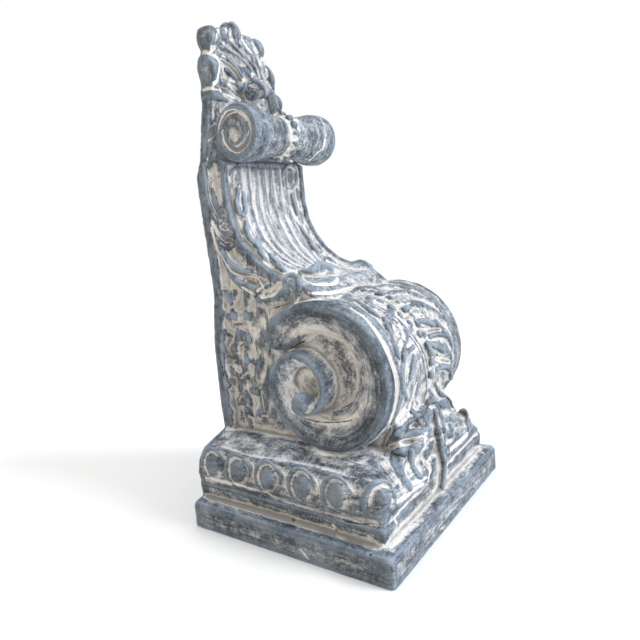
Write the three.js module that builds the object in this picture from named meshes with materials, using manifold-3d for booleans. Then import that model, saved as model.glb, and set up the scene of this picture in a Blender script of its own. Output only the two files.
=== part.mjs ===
// A carved stone corbel, stood on its moulded slab as it is when it isn't on a wall.
// Millimetres, +Z up. The origin is the middle of the underside, the front faces -Y and the flat back is +Y.
// A point of the carving is given as x across, d forward from the flat back, and z up.
import * as THREE from 'three';
import { mergeVertices } from 'three/addons/utils/BufferGeometryUtils.js';
import Module from 'manifold-3d';

const wasm = await Module();
wasm.setup();

// Driving dimensions of the moulded base
const slab = { width: 288, depth: 244, height: 30, worn: 6 };
const step = { inset: 15, rise: 17, flare: 2 };
const ovolo = { rise: 37, bulge: 3, drawIn: 10 };
const slope = { rise: 10, drawIn: 16 };
const corner = { least: 3.5, left: 12, right: 45 };
const egg = { count: 6, halfWidth: 10.5, halfHeight: 13, stand: 7, rim: 3, rimGap: 4, lean: 12 };

// Driving dimensions of the S-shaped body
const body = { halfWidth: 76, top: 400, back: 12 };
const hollow = { d: 125, z: 360, radius: 98 };
const edge = { width: 8, stand: 4 };
const flute = { count: 8, halfWidth: 57, ridge: 5.5, lastAngle: 72, tipShare: 0.5 };
const flower = { radius: 9.5, stand: 5.5 };
const foliage = { halfWidth: 66, top: 138, setBack: 24, stem: 11, lobe: 9 };
const scroll = { d: 149, z: 168, radius: 78, halfWidth: 75, rim: 9, sunk: 3, eyeD: 127, eyeZ: 144, eye: 10 };
const band = { firstTurn: -68, lastTurn: 598, steps: 30, crest: 93, rise: 11, channel: 19 };
const drape = { lobes: 5, pitch: 20, lobe: 7.5, bead: 5, beadPitch: 8, lastBead: 104 };
const roll = { d: 53.5, z: 425, radius: 30, halfLength: 76, rim: 24, waist: 22, bead: 4.6, beads: 15 };
const palm = { z: 466, top: 560, halfWidth: 55, lobe: 16, thickness: 23, aside: -2, lean: -0.2, curl: 11 };

const RAD = Math.PI / 180;
const stone = new THREE.MeshStandardMaterial({ color: 0x8c979f, roughness: 0.72, metalness: 0 });

// A point of the carving in the part's own frame
const at = (x, d, z) => new THREE.Vector3(x, slab.depth / 2 - d, z);

// Turns a closed geometry into a solid, with its faces turned outwards
function solidOf(geometry) {
  geometry.deleteAttribute('normal');
  geometry.deleteAttribute('uv');
  const merged = mergeVertices(geometry, 1e-4);
  const p = merged.attributes.position.array;
  const tris = Uint32Array.from(merged.index.array);
  let volume = 0;
  for (let i = 0; i < tris.length; i += 3) {
    const [a, b, c] = [tris[i] * 3, tris[i + 1] * 3, tris[i + 2] * 3];
    volume += p[a] * (p[b + 1] * p[c + 2] - p[b + 2] * p[c + 1]);
    volume -= p[a + 1] * (p[b] * p[c + 2] - p[b + 2] * p[c]);
    volume += p[a + 2] * (p[b] * p[c + 1] - p[b + 1] * p[c]);
  }
  if (volume < 0) {
    for (let i = 0; i < tris.length; i += 3) [tris[i], tris[i + 1]] = [tris[i + 1], tris[i]];
  }
  const closed = new wasm.Mesh({ numProp: 3, vertProperties: Float32Array.from(p), triVerts: tris });
  return new wasm.Manifold(closed);
}

// Skins a row of closed rings that have as many points each, and closes both ends with a fan
function loft(rings) {
  const count = rings[0].length;
  const points = rings.flat();
  const index = [];
  for (let r = 0; r + 1 < rings.length; r++) {
    for (let i = 0; i < count; i++) {
      const [a, b] = [r * count + i, r * count + ((i + 1) % count)];
      index.push(a, b, b + count, a, b + count, a + count);
    }
  }
  for (const [ring, turn] of [[0, 1], [rings.length - 1, 0]]) {
    const middle = points.length;
    points.push(rings[ring].reduce((sum, q) => sum.add(q), new THREE.Vector3()).divideScalar(count));
    for (let i = 0; i < count; i++) {
      const [a, b] = [ring * count + i, ring * count + ((i + 1) % count)];
      index.push(...(turn ? [b, a, middle] : [a, b, middle]));
    }
  }
  const geometry = new THREE.BufferGeometry().setFromPoints(points);
  geometry.setIndex(index);
  return solidOf(geometry);
}

// A rounded rib along a curve through a few points, thick in the middle or at one end
function rib(points, radius, { flat = 1, tip = 0.35, root = 0.6, sides = 4, steps = 4, out } = {}) {
  const curve = new THREE.CatmullRomCurve3(points);
  const rings = [];
  for (let s = 0; s <= steps; s++) {
    const t = s / steps;
    const centre = curve.getPoint(t);
    const along = curve.getTangent(t);
    const across = new THREE.Vector3().crossVectors(along, out).normalize();
    const up = new THREE.Vector3().crossVectors(across, along);
    const end = t < 0.5 ? root : tip;
    const swell = end + (1 - end) * Math.sin(Math.PI * t);
    rings.push(Array.from({ length: sides }, (_, i) => {
      const a = (i / sides) * 2 * Math.PI;
      return centre.clone()
        .addScaledVector(across, radius * swell * Math.cos(a))
        .addScaledVector(up, radius * flat * swell * Math.sin(a));
    }));
  }
  return loft(rings);
}

// An egg-shaped boss, turned about the X axis by tilt degrees and then about the Z axis by turn
function boss(centre, rx, ry, rz, { tilt = 0, turn = 0, sides = 7, rows = 4 } = {}) {
  const geometry = new THREE.SphereGeometry(1, sides, rows);
  geometry.scale(rx, ry, rz);
  geometry.rotateX(tilt * RAD);
  geometry.rotateZ(turn * RAD);
  geometry.translate(centre.x, centre.y, centre.z);
  return solidOf(geometry);
}

// The moulded base: rectangles that share a flush back, drawn in and out level by level
function mouldedBase() {
  const levels = [[0, 0], [0, slab.height - slab.worn], [slab.worn * 0.35, slab.height - slab.worn * 0.3]];
  levels.push([slab.worn, slab.height]);
  const stepTop = slab.height + step.rise;
  levels.push([step.inset, slab.height], [step.inset, slab.height + step.rise * 0.3]);
  levels.push([step.inset - step.flare, stepTop], [step.inset + 3, stepTop + 0.5]);
  // The egg moulding stands nearly upright, bulges low down and draws in to the plain slope above it
  const ovoloInset = [[0.05, -1], [0.3, -ovolo.bulge], [0.65, -0.5], [0.85, 4], [1, ovolo.drawIn]];
  for (const [share, inset] of ovoloInset) levels.push([step.inset + inset, stepTop + ovolo.rise * share]);
  const [drawn, ovoloTop] = levels.at(-1);
  levels.push([drawn + slope.drawIn, ovoloTop + slope.rise * 0.5]);
  levels.push([drawn + slope.drawIn * 2, ovoloTop + slope.rise]);
  // Its front corners are rounded off towards the top, the right one worn back much further
  return loft(levels.map(([inset, z]) => {
    const [x, front] = [slab.width / 2 - inset, slab.depth - inset];
    const share = Math.min(Math.max((z - stepTop) / ovolo.rise, 0), 1);
    const left = corner.least + (corner.left - corner.least) * share;
    const right = corner.least + (corner.right - corner.least) * share;
    const outline = [[-x, 0], [-x, front - left], [left - x, front]];
    outline.push([x - right, front], [x, front - right], [x, 0]);
    return outline.map(([across, forward]) => at(across, forward, z));
  }));
}

// Eggs in raised shells along both sides of the ovolo, with a dart between each two
function eggs() {
  const out = [];
  const z = slab.height + step.rise + ovolo.rise * 0.62;
  const face = slab.width / 2 - step.inset;
  const first = egg.halfWidth * 2;
  const pitch = (slab.depth - step.inset - egg.halfWidth * 0.8 - first) / (egg.count - 1);
  for (const side of [-1, 1]) {
    for (let i = 0; i < egg.count; i++) {
      // The last egg sits on the rounded front corner and faces it
      const last = i === egg.count - 1;
      const cut = last ? (side < 0 ? corner.left : corner.right) : 0;
      const turn = last ? -side * 45 : 0;
      const d = first + pitch * i;
      const shell = new THREE.TorusGeometry(egg.halfWidth + egg.rimGap, egg.rim, 3, 9);
      shell.scale(1, (egg.halfHeight + egg.rimGap) / (egg.halfWidth + egg.rimGap), 1);
      shell.rotateY(90 * RAD);
      shell.rotateX(-egg.lean * RAD);
      shell.rotateZ(turn * RAD);
      const c = at(side * (face - 0.5 - cut * 0.75), d, z - cut * 0.06);
      shell.translate(c.x, c.y, c.z);
      out.push(solidOf(shell));
      out.push(boss(c, egg.stand, egg.halfWidth, egg.halfHeight, { tilt: egg.lean, turn, sides: 6 }));
      if (i === 0 || (last && side > 0)) continue;
      const dart = at(side * (face + 1), d - pitch / 2, z - egg.halfHeight * 0.6);
      out.push(boss(dart, egg.rim * 1.2, egg.rim * 0.9, egg.halfHeight * 0.55, { sides: 4, rows: 3 }));
    }
  }
  return out;
}

// Where the great spiral has got to after a turn in degrees from its top, clockwise as seen from the left:
// the middle it bends round, its radius and the width of its band, as shares of the scroll's radius
function greatSpiral(turn) {
  const keys = [[-68, 0, 0, 1.1, 0.5], [-48, 0, 0, 1.12, 0.51], [-15, 0, 0, 1.01, 0.4]];
  keys.push([100, 0, 0, 0.98, 0.54], [180, 0, 0, 0.97, 0.5], [225, -0.15, -0.07, 0.76, 0.36]);
  keys.push([270, -0.33, -0.12, 0.5, 0.24], [360, -0.33, -0.1, 0.46, 0.24], [450, -0.31, -0.14, 0.42, 0.22]);
  keys.push([540, -0.29, -0.22, 0.27, 0.15], [620, -0.28, -0.29, 0.15, 0.1]);
  const next = Math.max(1, keys.findIndex((key) => key[0] >= turn));
  const [from, to] = [keys[next - 1], keys[next]];
  const t = (turn - from[0]) / (to[0] - from[0]);
  const [, d, z, radius, width] = from.map((value, i) => (value + (to[i] - value) * t) * scroll.radius);
  return { d: scroll.d + d, z: scroll.z + z, r: radius, width };
}

// The same for the small scroll's ends, which wind in evenly about one middle
function smallSpiral(turn) {
  const r = roll.radius * Math.exp(-0.0032 * turn);
  return { d: roll.d, z: roll.z, r, width: r * 0.5 };
}

// The core behind and between the scrolls, hollowed in front by a round arc
function core() {
  const shape = new THREE.Shape();
  const thin = hollow.d - hollow.radius;
  shape.moveTo(0, slab.height);
  shape.lineTo(scroll.d, slab.height);
  shape.lineTo(scroll.d, scroll.z + scroll.radius * 0.95);
  shape.lineTo(hollow.d, hollow.z - hollow.radius);
  shape.absarc(hollow.d, hollow.z, hollow.radius, -90 * RAD, -180 * RAD, true);
  shape.lineTo(thin, body.top);
  shape.lineTo(0, body.top);
  shape.closePath();
  const length = { depth: 2 * body.halfWidth, bevelEnabled: false, curveSegments: 10 };
  const block = new THREE.ExtrudeGeometry(shape, length);
  // The shape's X is forward and its Y is up
  const turn = new THREE.Matrix4();
  turn.set(0, 0, 1, -body.halfWidth, -1, 0, 0, slab.depth / 2, 0, 1, 0, 0, 0, 0, 0, 1);
  block.applyMatrix4(turn);
  return solidOf(block);
}

// The flat board at the back, as wide as the body's silhouette at each height
function backBoard() {
  // Share of the body's half width, and share of the height of the palm leaf's foot
  const half = [[1.1, 0.05], [1.1, 0.19], [1.14, 0.28], [1.14, 0.42], [1.05, 0.54], [1.07, 0.63]];
  half.push([1.12, 0.77], [1.16, 0.82], [1.05, 0.86], [0.97, 0.93], [0.91, 1]);
  const outline = half.map(([across, up]) => new THREE.Vector2(body.halfWidth * across, palm.z * up));
  const mirrored = outline.map((p) => new THREE.Vector2(-p.x, p.y)).reverse();
  const shape = new THREE.Shape([...outline, ...mirrored]);
  const board = new THREE.ExtrudeGeometry(shape, { depth: body.back, bevelEnabled: false });
  board.rotateX(90 * RAD);
  board.translate(0, slab.depth / 2, 0);
  return solidOf(board);
}

// The drum of the great scroll: plain rims and a sunk field between them
function drum() {
  const [w, rim] = [scroll.halfWidth, scroll.rim];
  const half = [[0, scroll.sunk], [w - rim - 2, scroll.sunk], [w - rim, 0], [w, 0]];
  const levels = [...half.slice(1).reverse().map(([x, sunk]) => [-x, sunk]), ...half.slice(1)];
  const sides = 24;
  return loft(levels.map(([x, sunk]) => Array.from({ length: sides }, (_, i) => {
    const a = (i / sides) * 2 * Math.PI;
    const r = scroll.radius - sunk;
    return at(x, scroll.d + r * Math.cos(a), scroll.z + r * Math.sin(a));
  })));
}

// The face of a scroll: a band that winds in, raised at its outer edge and hollowed inside it
function spiralFace(path, b, side, inner) {
  const rings = [];
  for (let step = 0; step <= b.steps; step++) {
    const turn = b.firstTurn + ((b.lastTurn - b.firstTurn) * step) / b.steps;
    const { d, z, r, width } = path(turn);
    const a = (90 - turn) * RAD + (b.turned ?? 0) * RAD;
    const crest = b.crest + (b.rise * step) / b.steps;
    const first = step === 0;
    const section = [[0, inner], [0, crest - 5], [0.13, crest], [0.4, crest - b.channel * 0.16]];
    section.push([1, crest - b.channel], [1, inner]);
    rings.push(section.map(([u, x]) => {
      const q = r - width * (first ? 0.25 + u * 0.5 : u);
      return at(side * (first && x > inner ? x - 3 : x), d + q * Math.cos(a), z + q * Math.sin(a));
    }));
  }
  return loft(rings);
}

// The small scroll: a turned roll with end rims, a waist and a collar of beads
function smallScroll() {
  const [h, r] = [roll.halfLength, roll.radius];
  const groove = h - roll.rim;
  const half = [[0, roll.waist], [groove * 0.55, roll.waist + 2.5], [groove - 1, r - 3], [groove + 1, r], [h, r]];
  const levels = [...half.slice(1).reverse().map(([x, q]) => [-x, q]), ...half];
  const sides = 14;
  const out = [loft(levels.map(([x, q]) => Array.from({ length: sides }, (_, i) => {
    const a = (i / sides) * 2 * Math.PI;
    return at(x, roll.d + q * Math.cos(a), roll.z + q * Math.sin(a));
  })))];
  for (let i = 0; i < roll.beads; i++) {
    const a = (i / roll.beads) * 2 * Math.PI;
    const [d, z] = [roll.d + (roll.waist + 2) * Math.cos(a), roll.z + (roll.waist + 2) * Math.sin(a)];
    if (d < body.back + roll.bead) continue;
    out.push(boss(at(0, d, z), roll.bead, roll.bead, roll.bead, { sides: 5, rows: 3 }));
  }
  for (const side of [-1, 1]) {
    const turns = { firstTurn: 0, lastTurn: 468, steps: 13, crest: h + 3, rise: 3, channel: 9, turned: 45 };
    out.push(spiralFace(smallSpiral, turns, side, h - 8));
  }
  return out;
}

// A point of the palm leaf, which leans a little to one side the higher it gets
const onPalm = (x, d, z) => at(x + palm.aside + palm.lean * Math.max(z - palm.z, 0), d, z);

// The palm leaf above the small scroll: lobes round its edge, ribs that fan out to them, and a curl in front
function palmLeaf() {
  const out = [];
  const front = new THREE.Vector3(0, -1, 0);
  const height = palm.top - palm.z;
  const deep = palm.thickness;
  // Share of the leaf's height, share of its half width, and its depth there
  const sheet = [[-0.45, 1.18, deep * 1.5], [0, 1.06, deep], [0.35, 0.93, deep * 0.75]];
  sheet.push([0.7, 0.76, deep * 0.6], [0.9, 0.34, deep * 0.55]);
  out.push(loft(sheet.map(([t, share, d]) => {
    const [half, z] = [palm.halfWidth * share, palm.z + t * height];
    const outline = [[-half, 0], [-half, d * 0.6], [-half * 0.5, d]];
    outline.push([half * 0.5, d], [half, d * 0.6], [half, 0]);
    return outline.map(([x, forward]) => onPalm(x, forward, z));
  })));
  // Share of the half width, share of the height, and size of each lobe from the top down
  const lobes = [[0, 0.82, 1.08], [0.72, 0.72, 0.95], [0.9, 0.39, 1], [1, 0.08, 0.95]];
  for (const side of [-1, 1]) {
    for (const [across, up, size] of side < 0 ? lobes : lobes.slice(1)) {
      const [x, z, r] = [side * across * palm.halfWidth, palm.z + up * height, palm.lobe * size];
      out.push(boss(onPalm(x, deep * 0.25, z), r * 0.76, deep * 0.8, r * 1.05, { tilt: -10 }));
    }
    for (const [across, up] of [[0.3, 0.68], [0.62, 0.5], [0.8, 0.2]]) {
      const [x, z] = [side * across * palm.halfWidth, palm.z + up * height];
      const root = onPalm(side * palm.curl * across, deep * 1.4, palm.z + palm.curl * 1.2);
      const mid = onPalm(x * 0.45, deep * 1.1, palm.z + (z - palm.z) * 0.7 + palm.curl * 0.4);
      const end = onPalm(x, deep * 0.7, z);
      out.push(rib([root, mid, end], palm.curl * 0.5, { out: front, tip: 0.7, root: 0.8 }));
    }
  }
  const curl = { d: deep * 1.4, z: palm.z + palm.curl * 1.5, halfWidth: palm.curl * 0.7 };
  const ring = (x) => Array.from({ length: 12 }, (_, i) => {
    const a = (i / 12) * 2 * Math.PI;
    return onPalm(x, curl.d + palm.curl * Math.cos(a), curl.z + palm.curl * Math.sin(a));
  });
  out.push(loft([ring(-curl.halfWidth), ring(curl.halfWidth)]));
  const stalk = [onPalm(0, roll.d, roll.z + roll.waist), onPalm(0, roll.d - roll.bead, curl.z - palm.curl)];
  stalk.push(onPalm(0, curl.d + palm.curl * 0.6, curl.z));
  out.push(rib(stalk, palm.curl * 0.75, { out: front, tip: 0.9, root: 0.9 }));
  return out;
}

// A point on the hollow front, raised from it by lift, at an angle down from level with its centre
function onHollow(x, angle, lift) {
  const r = hollow.radius - lift;
  // Above the level of its centre the hollow runs on straight up
  const forward = angle < 0 ? hollow.d - r : hollow.d - r * Math.cos(angle * RAD);
  return at(x, forward, hollow.z - r * Math.sin(angle * RAD));
}

// The leaf on the hollow front: raised edges, long flutes and lobes, and a curled end at each corner
function hollowLeaf() {
  const out = [];
  const front = new THREE.Vector3(0, -1, 0.4).normalize();
  for (const side of [-1, 1]) {
    const rings = [];
    for (let a = -24; a <= 88; a += 14) {
      const inner = side * (body.halfWidth - edge.width);
      const outer = side * body.halfWidth;
      const point = (x, lift) => onHollow(x, a, lift);
      rings.push([point(outer, -6), point(outer, edge.stand), point(inner, edge.stand), point(inner, -6)]);
    }
    out.push(loft(rings));
    for (const angle of [-12, 8, 27, 45, 60]) {
      const c = onHollow(side * (flute.halfWidth + 1 - Math.max(angle - 40, 0) * 0.4), angle, 0);
      const shape = { tilt: -Math.max(angle, 0), sides: 6, rows: 3 };
      out.push(boss(c, edge.width, flute.ridge + 1, edge.width * 1.4, shape));
    }
    // The corner curl that rolls up over the great scroll
    const lip = hollow.z - hollow.radius;
    const x = side * (body.halfWidth - edge.width * 0.75);
    const curl = [at(x, hollow.d - edge.width * 4, lip + 5), at(x, hollow.d - edge.width * 2.1, lip + 4)];
    curl.push(at(x, hollow.d - edge.width, lip - 4), at(x, hollow.d - edge.width, lip - edge.width * 2.2));
    const outward = new THREE.Vector3(side, 0, 0);
    out.push(rib(curl, edge.width * 1.1, { out: outward, tip: 0.9, flat: 1.5, steps: 5 }));
  }
  // The long flutes: one sheet with a ridge to each, that narrows to the leaf's turned-over tip
  const rings = [];
  for (let step = 0; step <= 7; step++) {
    const a = -20 + ((flute.lastAngle + 20) * step) / 7;
    const half = flute.halfWidth * (1 - (1 - flute.tipShare) * Math.max(0, (step - 4) / 3) ** 1.5);
    const ring = [];
    for (let i = 0; i <= 2 * flute.count; i++) {
      const x = (i / flute.count - 1) * half;
      ring.push(onHollow(x, a, i % 2 ? flute.ridge : 0.5));
    }
    ring.push(onHollow(half, a, -flute.ridge), onHollow(-half, a, -flute.ridge));
    rings.push(ring);
  }
  out.push(loft(rings));
  const tip = onHollow(0, flute.lastAngle + 1, flute.ridge * 0.5);
  const tipHalf = flute.halfWidth * flute.tipShare;
  out.push(boss(tip, tipHalf, edge.width * 1.5, flute.ridge * 1.8, { tilt: flute.lastAngle - 90, sides: 8 }));
  return out;
}

// The side of the upper body: a long scrolled border, leaf tips inside it and a stem up to the small scroll
function sideLeaf(side) {
  const out = [];
  const outward = new THREE.Vector3(side, 0, 0);
  // Thickness as a share of the edge's width, the tip's share of it, then places round the hollow's centre:
  // the angle down from level behind it and the distance as a share of the hollow's radius
  const ribs = [[1.1, 0.7, [-6, 1.16], [20, 1.2], [44, 1.29], [64, 1.27], [76, 1.13], [82, 0.99]]];
  ribs.push([0.75, 0.4, [-27, 1.16], [-15, 1.19], [-3, 1.14], [14, 1.01]]);
  ribs.push([0.75, 0.35, [8, 1.16], [19, 1.13], [28, 1]]);
  ribs.push([0.8, 0.35, [15, 1.19], [30, 1.23], [42, 1.19], [55, 1.08]]);
  ribs.push([0.75, 0.6, [51, 1.27], [61, 1.19], [70, 1]]);
  for (const [thick, tip, ...path] of ribs) {
    const places = path.map(([angle, share]) => {
      const back = hollow.radius * share * Math.cos(angle * RAD);
      const down = hollow.radius * share * Math.sin(angle * RAD);
      return at(side * (body.halfWidth + 1), hollow.d - back, hollow.z - down);
    });
    out.push(rib(places, edge.width * thick, { out: outward, steps: path.length + 2, tip }));
  }
  return out;
}

// The flowers carved on the side panel between the back and the great scroll
function sideFlowers(side) {
  const out = [];
  const width = scroll.d - scroll.radius;
  // Share of the panel's width, share of the great scroll's height above the ground, and size of each flower
  const spots = [[0.31, 1.47, 1.05], [0.34, 1.35, 0.95], [0.68, 1.36, 0.95], [0.56, 1.21, 1.15]];
  spots.push([0.28, 1.13, 0.95], [0.62, 1.05, 0.95], [0.28, 0.94, 1.05], [0.63, 0.84, 1.05]);
  spots.push([0.34, 0.75, 0.95], [0.76, 0.7, 0.85]);
  for (const [across, up, size] of spots) {
    const r = flower.radius * size;
    const c = at(side * (body.halfWidth - 1), width * across, scroll.z * up);
    out.push(boss(c, flower.stand, r, r * 1.15, { sides: 5, rows: 3 }));
  }
  return out;
}

// A point on the drum of the great scroll, raised by lift, at a turn in degrees from its top
function onDrum(x, turn, lift) {
  const [r, a] = [scroll.radius - scroll.sunk + lift, (90 - turn) * RAD];
  return at(x, scroll.d + r * Math.cos(a), scroll.z + r * Math.sin(a));
}

// The leaf over the great scroll: a spine of beads and pairs of curved lobes
function drumLeaf() {
  const out = [];
  for (let turn = 2; turn <= drape.lastBead; turn += drape.beadPitch) {
    out.push(boss(onDrum(0, turn, 1.5), drape.bead, drape.bead, drape.bead, { sides: 5, rows: 3 }));
  }
  for (const side of [-1, 1]) {
    for (let i = 0; i < drape.lobes; i++) {
      const t = i * drape.pitch - 2;
      // Share of the drum's half width and turn past the lobe's root
      const path = [[0.16, 0], [0.45, 3], [0.72, 13], [0.85, 27]].map(([across, turn]) =>
        onDrum(side * across * scroll.halfWidth, t + turn, 0.5));
      const outward = onDrum(0, t + 10, 10).sub(onDrum(0, t + 10, 0)).normalize();
      out.push(rib(path, drape.lobe, { out: outward, flat: 0.6, tip: 0.5, root: 0.5 }));
    }
  }
  return out;
}

// The leaf that hangs from the great scroll over the front of the base
function baseLeaf() {
  const out = [];
  const front = new THREE.Vector3(0, -1, 0);
  const face = slab.depth - step.inset;
  // A place on the leaf: share of its half width, share of its height from the ground, and its set-back
  const onLeaf = (across, up, back) => at(across * foliage.halfWidth, face - back, up * foliage.top);
  // The lump of stone behind the leaf, between the scroll and the base
  const lump = [[0.67, 0.35, 0.08], [0.9, 0.58, 0.08], [0.97, 0.8, 0.2], [0.88, 1.01, 0.54], [0.76, 1.2, 1]];
  out.push(loft(lump.map(([half, up, share]) => {
    const back = share * foliage.setBack;
    const edgeBack = back + foliage.lobe;
    const root = face - scroll.d;
    const outline = [[-half, root], [-half, edgeBack], [-half * 0.6, back]];
    outline.push([half * 0.6, back], [half, edgeBack], [half, root]);
    return outline.map(([across, set]) => onLeaf(across, up, set));
  })));
  const spine = [onLeaf(0, 1, foliage.stem), onLeaf(0, 0.8, 1), onLeaf(0, 0.58, 0)];
  spine.push(at(0, face - 2, slab.height + 3));
  out.push(rib(spine, foliage.stem, { out: front, steps: 6, tip: 0.5, root: 0.7 }));
  // The places where each lobe starts and ends
  const lobes = [[0.12, 0.86, 0.7, 0.72], [0.15, 0.75, 0.85, 0.6], [0.15, 0.64, 0.78, 0.47]];
  lobes.push([0.12, 0.51, 0.48, 0.35]);
  for (const side of [-1, 1]) {
    for (const [x0, z0, x1, z1] of lobes) {
      const path = [onLeaf(side * x0, z0, foliage.lobe * 0.3)];
      path.push(onLeaf((side * (x0 + x1)) / 2, (z0 + z1) / 2 + 0.04, 0));
      path.push(onLeaf(side * x1, z1, foliage.lobe * 0.8));
      out.push(rib(path, foliage.lobe, { out: front, flat: 0.7, tip: 0.5 }));
    }
    const corner = [[1, 0.5, 0.9], [1.2, 0.45, 0.6], [1.38, 0.37, 0.6]].map(([across, up, back]) =>
      onLeaf(side * across, up, foliage.lobe * back));
    out.push(rib(corner, foliage.lobe * 0.85, { out: front, steps: 3, flat: 0.7 }));
  }
  return out;
}

const pieces = [mouldedBase(), ...eggs(), core(), backBoard(), drum(), ...smallScroll()];
pieces.push(...palmLeaf(), ...hollowLeaf());
for (const side of [-1, 1]) {
  pieces.push(spiralFace(greatSpiral, band, side, body.halfWidth - 8));
  const eye = at(side * (band.crest + band.rise / 2), scroll.eyeD, scroll.eyeZ);
  pieces.push(boss(eye, scroll.eye * 1.2, scroll.eye, scroll.eye));
  pieces.push(...sideLeaf(side), ...sideFlowers(side));
}
pieces.push(...drumLeaf(), ...baseLeaf());

// Everything is one block of stone, cut flat at the back where it meets the wall and below where it stands
let carved = wasm.Manifold.union(pieces);
const behind = new THREE.BoxGeometry(2 * slab.width, slab.depth, 3 * palm.top);
behind.translate(0, slab.depth, 0);
carved = carved.subtract(solidOf(behind)).simplify(1.8);
// Pockets shut in between overlapping pieces are solid stone
carved = wasm.Manifold.union(carved.decompose().filter((body) => body.volume() > 0));

const mesh = carved.getMesh();
const geometry = new THREE.BufferGeometry();
geometry.setAttribute('position', new THREE.BufferAttribute(Float32Array.from(mesh.vertProperties), 3));
geometry.setIndex(Array.from(mesh.triVerts));
const corbel = new THREE.Mesh(geometry, stone);
corbel.name = 'corbel';

const group = new THREE.Group();
group.add(corbel);

export default group;
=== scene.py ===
import math
import bpy
import bmesh
import numpy as np
from mathutils import Matrix, Vector
from mathutils.bvhtree import BVHTree


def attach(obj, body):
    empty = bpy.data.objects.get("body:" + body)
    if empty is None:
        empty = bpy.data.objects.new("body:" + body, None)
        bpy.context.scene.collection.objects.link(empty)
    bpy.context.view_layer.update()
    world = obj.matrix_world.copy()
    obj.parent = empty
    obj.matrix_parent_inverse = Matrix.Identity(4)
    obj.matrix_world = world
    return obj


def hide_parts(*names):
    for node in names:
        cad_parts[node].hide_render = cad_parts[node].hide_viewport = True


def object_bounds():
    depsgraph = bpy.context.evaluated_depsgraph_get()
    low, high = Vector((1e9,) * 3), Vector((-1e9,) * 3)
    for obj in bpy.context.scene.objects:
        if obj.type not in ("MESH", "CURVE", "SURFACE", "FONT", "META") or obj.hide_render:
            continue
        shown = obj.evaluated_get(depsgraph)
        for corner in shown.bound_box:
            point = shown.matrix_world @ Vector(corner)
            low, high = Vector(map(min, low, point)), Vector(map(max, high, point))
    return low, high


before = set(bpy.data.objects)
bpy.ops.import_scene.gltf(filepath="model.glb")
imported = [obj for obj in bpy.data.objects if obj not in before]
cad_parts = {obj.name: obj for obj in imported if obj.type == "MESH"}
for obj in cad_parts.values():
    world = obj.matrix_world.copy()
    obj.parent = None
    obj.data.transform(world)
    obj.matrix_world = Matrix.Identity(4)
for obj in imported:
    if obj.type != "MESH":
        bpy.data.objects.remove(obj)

# A carved stone corbel on its slab, with worn blue-grey paint and limewash left in the hollows.
# Sizes are in millimetres until a mesh is made. A point is x across, d forward from the flat back, z up.
cadLow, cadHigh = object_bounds()
backY = cadHigh.y * 1000
parts = []
bpy.ops.object.select_all(action='DESELECT')


def at(x, d, z):
    return np.array([x, backY - d, z], float)


# The same three measures for all points of a mesh
def measures(points):
    return points[:, 0] * 1000, backY - points[:, 1] * 1000, points[:, 2] * 1000


def roundAngles(count):
    return np.linspace(0, 2 * math.pi, count, endpoint=False)


def mergeDoubles(mesh, faceOutwards):
    shaper = bmesh.new()
    shaper.from_mesh(mesh)
    bmesh.ops.remove_doubles(shaper, verts=shaper.verts, dist=1e-6)
    if faceOutwards:
        bmesh.ops.recalc_face_normals(shaper, faces=shaper.faces)
    shaper.to_mesh(mesh)
    shaper.free()


def meshObject(name, points, faces):
    mesh = bpy.data.meshes.new(name)
    mesh.from_pydata([tuple(p * 0.001) for p in points], [], faces)
    made = bpy.data.objects.new(name, mesh)
    bpy.context.collection.objects.link(made)
    mergeDoubles(mesh, faceOutwards=True)
    return made


# A closed skin over a row of rings that have as many points each
def sweep(name, rings):
    count = len(rings[0])
    points = [p for ring in rings for p in ring]
    faces = []
    for r in range(len(rings) - 1):
        for i in range(count):
            a, b = r * count + i, r * count + (i + 1) % count
            faces.append((a, b, b + count, a + count))
    faces.append(tuple(range(count))[::-1])
    faces.append(tuple(range((len(rings) - 1) * count, len(rings) * count)))
    return meshObject(name, points, faces)


# A smooth curve through a few points, with as many points along it as asked for
def smoothPath(points, count):
    points = [np.array(p, float) for p in points]
    ends = [2 * points[0] - points[1]] + points + [2 * points[-1] - points[-2]]
    out = []
    for s in np.linspace(0, len(points) - 1, count):
        i = min(int(s), len(points) - 2)
        t = s - i
        a, b, c, e = ends[i:i + 4]
        out.append(0.5 * (2 * b + (c - a) * t + (2 * a - 5 * b + 4 * c - e) * t * t
                          + (3 * b - a - 3 * c + e) * t ** 3))
    return out


# A rounded rib along a path: thick in its middle, with shares of that thickness at the root and the tip
def rib(name, path, radius, out, root=0.3, tip=0.2, flat=1.3, steps=20, sides=12):
    curve = smoothPath(path, steps + 1)
    rings = []
    for s, centre in enumerate(curve):
        t = s / steps
        along = curve[min(s + 1, steps)] - curve[max(s - 1, 0)]
        along /= np.linalg.norm(along)
        across = np.cross(along, out)
        across /= np.linalg.norm(across)
        up = np.cross(across, along)
        end = root if t < 0.5 else tip
        swell = radius * (end + (1 - end) * math.sin(math.pi * t))
        rings.append([centre + across * swell * math.cos(a) + up * swell * flat * math.sin(a)
                      for a in roundAngles(sides)])
    return sweep(name, rings)


# A tilt about X and then a turn about Z, in degrees
def leaning(tilt, turned):
    return Matrix.Rotation(math.radians(turned), 4, 'Z') @ Matrix.Rotation(math.radians(tilt), 4, 'X')


# An egg-shaped boss made from a sphere, tilted and turned
def boss(name, centre, rx, ry, rz, tilt=0.0, turned=0.0, segments=20, rings=12):
    bpy.ops.mesh.primitive_uv_sphere_add(segments=segments, ring_count=rings, radius=0.001)
    made = bpy.context.object
    made.name = name
    place = Matrix.Translation(Vector(centre * 0.001))
    made.data.transform(place @ leaning(tilt, turned) @ Matrix.Diagonal((rx, ry, rz, 1)))
    made.select_set(False)
    return made


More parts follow.
